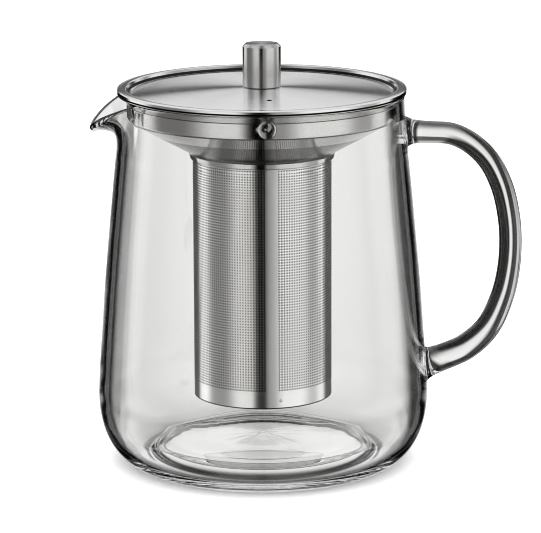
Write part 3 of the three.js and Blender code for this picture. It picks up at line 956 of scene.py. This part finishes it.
# Spot weld on the plain bottom band
weld_verts, weld_faces = [], []
for i in range(20):
    for j in range(8):
        u, v = 2 * math.pi * i / 20, 2 * math.pi * j / 8
        rad = 0.42 + 0.12 * math.cos(v)
        phi = math.radians(-90.0 + 14.85) + rad * math.cos(u) / STRAINER_R
        rr = STRAINER_R + 0.08 * math.sin(v)
        weld_verts.append((AX + rr * math.cos(phi), rr * math.sin(phi), 29.3 + rad * math.sin(u)))
        weld_faces.append((i * 8 + j, ((i + 1) % 20) * 8 + j, ((i + 1) % 20) * 8 + (j + 1) % 8, i * 8 + (j + 1) % 8))
weld = make_object("spot_weld", weld_verts, weld_faces, origin=(AX, 0.0, 0.0))
face_out(weld)
finish_piece(weld, mat_shoulder_shade_and_weld, "strainer_steel", "infuser")

CUP = [
    ([0.0, 27.0], 0.0),
    ([25.55, 26.6], 0.9),
    ([25.55, 33.0], 0.0),
    ([25.05, 33.0], 0.0),
    ([25.05, 27.1], 0.6),
    ([0.0, 27.5], 0.0),
]
cup = lathe("bottom_cup", fillet([q[0] for q in CUP], False, [q[1] for q in CUP], 6, 0.1), 160, False)
face_out(cup)
finish_piece(cup, mat_strainer, "strainer_steel", "infuser", "infuser_base")
cup.data.materials.append(mat_inside_painted_shade)
# painted shade: the inside of the cup takes the near-black inside steel
for poly in cup.data.polygons:
    if poly.normal.z > 0.3 or (poly.center.z * 1000 > 27.6 and math.hypot(poly.center.x, poly.center.y) * 1000 < 25.3):
        poly.material_index = 1

# ---------------------------------------------------------------- lid

DISC_R, DISC_EDGE_Z, DISC_APEX_Z = 49.1, 141.65, 143.95
VENT = (2.8, -26.6, 1.0)


def dome(r):
    return DISC_EDGE_Z + (DISC_APEX_Z - DISC_EDGE_Z) * (1 - (r / DISC_R) ** 2)


def build_lid():
    top = [([r, dome(r)], 0.0) for r in (2.3, 4, 6, 7.5, 9, 12, 15, 18, 21, 24, 27, 30, 33, 36, 39, 42, 45, 47.2)]
    top += [([48.9, dome(48.9)], 0.4), ([49.75, 141.85], 0.5), ([50.1, 142.75], 0.25), ([50.8, LID_TOP - 0.08], 0.5),
            ([52.4, LID_TOP], 1.5), ([53.65, LID_TOP - 0.14], 0.6), ([54.1, LID_TOP - 0.36], 0.15),
            ([54.1, 142.62], 0.1), ([51.2, 142.62], 0.3), ([49.3, 140.95], 0.3)]
    under = [([r, dome(r) - 0.6], 0.0) for r in (47.2, 42, 36, 30, 24, 18, 12, 9, 6, 2.3)]
    sec = top + under
    ob = lathe("lid_spun", fillet([q[0] for q in sec], True, [q[1] for q in sec], 8, 0.1), 256, True)
    face_out(ob)
    # steam vent
    bm = bmesh.new()
    bmesh.ops.create_cone(bm, cap_ends=True, segments=32, radius1=0.001, radius2=0.001, depth=0.006)
    drill_mesh = bpy.data.meshes.new("vent_drill")
    bm.to_mesh(drill_mesh)
    bm.free()
    drill = bpy.data.objects.new("vent_drill", drill_mesh)
    bpy.context.scene.collection.objects.link(drill)
    drill.location = ((AX + VENT[0]) * 0.001, VENT[1] * 0.001, 0.143)
    bpy.context.view_layer.update()
    mod = ob.modifiers.new("vent", "BOOLEAN")
    mod.operation, mod.solver, mod.object = "DIFFERENCE", "EXACT", drill
    dg = bpy.context.evaluated_depsgraph_get()
    mesh = bpy.data.meshes.new_from_object(ob.evaluated_get(dg), depsgraph=dg)
    ob.modifiers.clear()
    ob.data = mesh
    bpy.data.objects.remove(drill)
    flags = np.ones(len(mesh.polygons), bool)
    # the bore of the vent stays crisp
    for poly in mesh.polygons:
        c = poly.center
        if math.hypot(c.x * 1000 - VENT[0], c.y * 1000 - VENT[1]) < 1.01 and abs(poly.normal.z) < 0.5:
            flags[poly.index] = False
    mesh.polygons.foreach_set("use_smooth", flags)
    return ob


lid = build_lid()
finish_piece(lid, mat_lid, "brushed_steel", "lid", "lid_dish")
# the rolled rim is polished and the disc brushed; the step between them, the rim's underside and the vent bore are
# painted shade in near-black steel
lid.data.materials.append(mat_rim)
lid.data.materials.append(mat_step_painted_shade)
for poly in lid.data.polygons:
    c = poly.center
    r = math.hypot(c.x, c.y) * 1000
    if (r > 50.3 and c.z * 1000 > 142.75) or (48.8 < r < 49.6 and c.z * 1000 > 141.3):
        poly.material_index = 1
    elif r > 49.6 or (math.hypot(c.x * 1000 - VENT[0], c.y * 1000 - VENT[1]) < 1.01 and abs(poly.normal.z) < 0.5):
        poly.material_index = 2

kr = 7.15
knob_sec = [[2.3, 144.05], [kr - 0.35, 144.05], [kr, 144.4], [kr, 159.25], [kr - 0.95, 160.2], [0.0, 160.2]]
knob_rad = [0.0, 0.15, 0.15, 0.12, 0.12, 0.0]
inner = [[0.0, 156.2], [2.3, 155.0]]
sec = fillet(knob_sec, False, knob_rad, 5, 0.08)
sec += [np.array(q) for q in inner]
knob = lathe("knob_turned", sec, 128, True)
face_out(knob)
finish_piece(knob, mat_knob, "brushed_steel", "lid", "lid_knob")

WASHER = [([2.35, 142.4], 0.0), ([5.0, 142.4], 0.15), ([5.0, 143.2], 0.15), ([2.35, 143.2], 0.0)]
washer = lathe("washer_spring", fillet([q[0] for q in WASHER], True, [q[1] for q in WASHER], 4, 0.06), 72, True)
face_out(washer)
finish_piece(washer, mat_fastener, "fastener_steel", "lid", "lid_washer")


def build_screw():
    """Pan-head machine screw with a cross recess and a threaded shank."""
    seat = 142.35
    sec = [[0.0, seat - 2.4], [1.6, seat - 2.38], [2.8, seat - 2.15], [3.6, seat - 1.6], [3.9, seat - 0.9],
           [3.9, seat - 0.1], [3.8, seat], [2.0, seat], [1.95, seat + 0.4]]
    z = seat + 1.2
    pitch = 0.7
    while z < 152.8:
        sec += [[1.95, z], [1.6, z + 0.35 * pitch], [1.6, z + 0.5 * pitch], [1.95, z + 0.85 * pitch]]
        z += pitch
    sec += [[1.6, 153.4], [0.0, 153.7]]
    ob = lathe("screw_pan_head", sec, 48, False)
    face_out(ob)
    bm = bmesh.new()
    for ang in (0.0, math.pi / 2):
        geo = bmesh.ops.create_cube(bm, size=1.0)
        bmesh.ops.scale(bm, verts=geo["verts"], vec=(0.0034, 0.0007, 0.0026))
        bmesh.ops.rotate(bm, verts=geo["verts"], cent=(0, 0, 0), matrix=Matrix.Rotation(ang, 3, "Z"))
    cross_mesh = bpy.data.meshes.new("cross")
    bm.to_mesh(cross_mesh)
    bm.free()
    cross = bpy.data.objects.new("cross", cross_mesh)
    bpy.context.scene.collection.objects.link(cross)
    cross.location = (AX * 0.001, 0, (seat - 2.6) * 0.001)
    bpy.context.view_layer.update()
    mod = ob.modifiers.new("cross", "BOOLEAN")
    mod.operation, mod.solver, mod.object, mod.use_self = "DIFFERENCE", "EXACT", cross, True
    dg = bpy.context.evaluated_depsgraph_get()
    mesh = bpy.data.meshes.new_from_object(ob.evaluated_get(dg), depsgraph=dg)
    ob.modifiers.clear()
    ob.data = mesh
    bpy.data.objects.remove(cross)
    mesh.polygons.foreach_set("use_smooth", np.zeros(len(mesh.polygons), bool))
    return ob


screw = build_screw()
finish_piece(screw, mat_fastener, "fastener_steel", "lid", "lid_screw")

# ---------------------------------------------------------------- camera

cam_data = bpy.data.cameras.new("camera")
cam_data.lens = 225.75
cam_data.sensor_width = 36.0
cam_data.clip_start = 0.05
cam_data.clip_end = 50.0
camera = bpy.data.objects.new("camera", cam_data)
CAM_TILT, CAM_ROLL = 12.655, 0.22
camera.matrix_world = (
    Matrix.Translation((AX * 0.001 + 0.00300, -1.25, 0.3557))
    @ Matrix.Rotation(math.radians(90.0 - CAM_TILT), 4, "X")
    @ Matrix.Rotation(math.radians(-CAM_ROLL), 4, "Z")
)
bpy.context.scene.collection.objects.link(camera)
bpy.context.scene.camera = camera

# ---------------------------------------------------------------- studio

scene = bpy.context.scene
scene.view_settings.view_transform = "Standard"
scene.view_settings.look = "None"
scene.view_settings.exposure = 0.0
scene.view_settings.gamma = 0.80
scene.cycles.max_bounces = 28
scene.cycles.transmission_bounces = 26
scene.cycles.glossy_bounces = 16
scene.cycles.diffuse_bounces = 1
scene.cycles.transparent_max_bounces = 28
scene.cycles.use_denoising = True
scene.cycles.sample_clamp_indirect = 6.0

# The turntable: the studio turns with the camera, as a product on a turntable is lit
world = bpy.data.worlds.new("studio")
scene.world = world
world.use_nodes = True
wt = world.node_tree
wt.nodes.clear()
w = Nodes(wt)
tc = w.new("ShaderNodeTexCoord")
turn = w.new("ShaderNodeVectorRotate", rotation_type="Z_AXIS")
w.put(turn.inputs["Vector"], tc.outputs["Generated"])
turn.name = "turn"
turn.invert = True
drv = turn.inputs["Angle"].driver_add("default_value").driver
drv.type = "SUM"
for kind in ("ROT_Z",):
    var = drv.variables.new()
    var.name = "yaw"
    var.type = "TRANSFORMS"
    tgt = var.targets[0]
    tgt.id = camera
    tgt.transform_type = kind
    tgt.transform_space = "WORLD_SPACE"
    tgt.rotation_mode = "XYZ"
drv.expression = ""
neg = w.new("ShaderNodeVectorMath", operation="MULTIPLY")
sepw = w.new("ShaderNodeSeparateXYZ")
w.put(sepw.inputs[0], turn.outputs["Vector"])
dx, dy, dzz = sepw.outputs
# alpha: 0 towards the camera, + to its right, 180 behind the object; eps: elevation
alpha = w.mul(w.math("ARCTAN2", dx, w.mul(dy, -1.0)), 180 / math.pi)
eps = w.mul(w.math("ARCSINE", w.math("MAXIMUM", w.math("MINIMUM", dzz, 1.0), -1.0)), 180 / math.pi)
absa = w.math("ABSOLUTE", alpha)


def steps(x, *edges):
    """Sum of smooth steps of x: (level, from, to) each."""
    total = None
    for level, lo, hi in edges:
        part = w.ramp(x, lo, hi, 0.0, level)
        total = part if total is None else w.add(total, part)
    return w.math("MAXIMUM", total, 0.0)


left = w.mul(alpha, -1.0)
lp = w.new("ShaderNodeLightPath")

# What the steel mirrors: tall soft boxes to the right and the left, reaching below the table level, with a
# dark slot for the camera between them and dark flags behind the pot
box_left = steps(left, (0.86, 5.0, 23.0), (-0.60, 32.0, 74.0), (0.66, 90.0, 112.0), (-0.92, 127.0, 136.0))
box_right = steps(alpha, (0.40, 2.0, 12.0), (0.52, 12.0, 42.0), (-0.44, 64.0, 95.0), (0.40, 98.0, 112.0), (-0.88, 119.0, 130.0))
sheet = w.mul(w.ramp(absa, 161.0, 171.0), 0.80)
low = w.mul(w.mul(w.add(box_left, box_right), 1.3), w.ramp(eps, -62.0, -34.0, 0.15, 1.0))
low = w.add(w.add(low, w.mul(sheet, w.ramp(eps, -66.0, -44.0))), 0.006)
# above the horizon the side boxes carry on to about 45 degrees; the back has a dark gap and then the top box
side_high = w.mul(low, w.ramp(eps, 34.0, 56.0, 1.0, 0.0))
top_box = w.mul(w.ramp(eps, 38.0, 62.0), w.ramp(absa, 18.0, 60.0, 0.22, 1.0))
back_high = w.add(w.mul(w.ramp(eps, 12.0, 15.5), 1.0), w.mul(w.ramp(eps, 2.0, 11.0, 1.0, 0.0), 0.84))
back_high = w.add(back_high, 0.05)
is_back = w.ramp(absa, 118.0, 142.0)
high = w.lerp(is_back, w.add(side_high, w.mul(top_box, 1.0)), back_high)
above = w.ramp(eps, -1.0, 1.5)
mirrored = w.lerp(above, low, high)

# What is seen straight through the glass: the narrow pale sheet behind, falling away towards the table, with
# dark flags close beside it
through = w.add(w.ramp(alpha, 168.5, 177.0, 0.0, 0.90), w.ramp(left, 169.0, 176.5, 0.0, 0.90))
through = w.add(through, w.mul(w.band(left, 126.0, 134.0, 149.0, 155.0), 0.62))
through = w.mul(through, w.ramp(eps, -41.0, -7.0, 0.10, 1.0))
lower = w.add(through, 0.03)
gap = w.add(w.ramp(eps, 4.0, 8.5, 1.0, 0.16), w.ramp(eps, 20.0, 34.0, 0.0, 0.36))
upper = w.mul(w.add(through, w.ramp(eps, 14.0, 40.0, 0.0, 0.35)), gap)
seen = w.lerp(w.ramp(eps, -1.0, 1.5), lower, w.add(upper, 0.03))

reflected = w.math("GREATER_THAN", lp.outputs["Glossy Depth"], 0.5)
studio = w.lerp(reflected, seen, mirrored)
value = w.lerp(lp.outputs["Is Diffuse Ray"], studio, 0.0)
value = w.lerp(lp.outputs["Is Camera Ray"], value, 1.0)
warm = w.mix(w.ramp(value, 0.0, 0.9), (1.0, 0.985, 0.96, 1), (1.0, 1.0, 1.0, 1))
bgn = w.new("ShaderNodeBackground")
w.put(bgn.inputs["Color"], warm)
w.put(bgn.inputs["Strength"], value)
wo = w.new("ShaderNodeOutputWorld")
w.put(wo.inputs["Surface"], bgn.outputs[0])
world.cycles.sampling_method = "NONE"

# Floor: plain and pale. Only the camera sees it directly; reflections and refractions meet the studio.
bm = bmesh.new()
bmesh.ops.create_grid(bm, x_segments=24, y_segments=24, size=3.0)
for v in bm.verts:
    v.co.z = 0.0
floor_mesh = bpy.data.meshes.new("floor")
bm.to_mesh(floor_mesh)
bm.free()
floor = bpy.data.objects.new("floor", floor_mesh)
floor.location = (0, 0, -0.0002)
scene.collection.objects.link(floor)
fm, fn, fo = material("floor_pale")
diff = fn.new("ShaderNodeBsdfDiffuse")
diff.inputs["Color"].default_value = (0.9, 0.9, 0.9, 1)
see = fn.new("ShaderNodeBsdfTransparent")
lpf = fn.new("ShaderNodeLightPath")
mixf = fn.new("ShaderNodeMixShader")
fn.put(mixf.inputs[0], lpf.outputs["Is Camera Ray"])
fn.put(mixf.inputs[1], see.outputs[0])
fn.put(mixf.inputs[2], diff.outputs[0])
fn.put(fo.inputs["Surface"], mixf.outputs[0])
floor_mesh.materials.append(fm)

sun = bpy.data.lights.new("floor_light", "SUN")
sun.angle = math.radians(9)
sun.energy = 4.9
sun_ob = bpy.data.objects.new("floor_light", sun)
sun_ob.location = (0, 0, 2)
sun_ob.rotation_euler = (math.radians(1.5), 0, 0)
scene.collection.objects.link(sun_ob)
only_floor = bpy.data.collections.new("lit_floor")
only_floor.objects.link(floor)
sun_ob.light_linking.receiver_collection = only_floor
bpy.context.scene.cycles.filter_width = 1.05

# ---------------------------------------------------------------- end

bpy.context.view_layer.update()
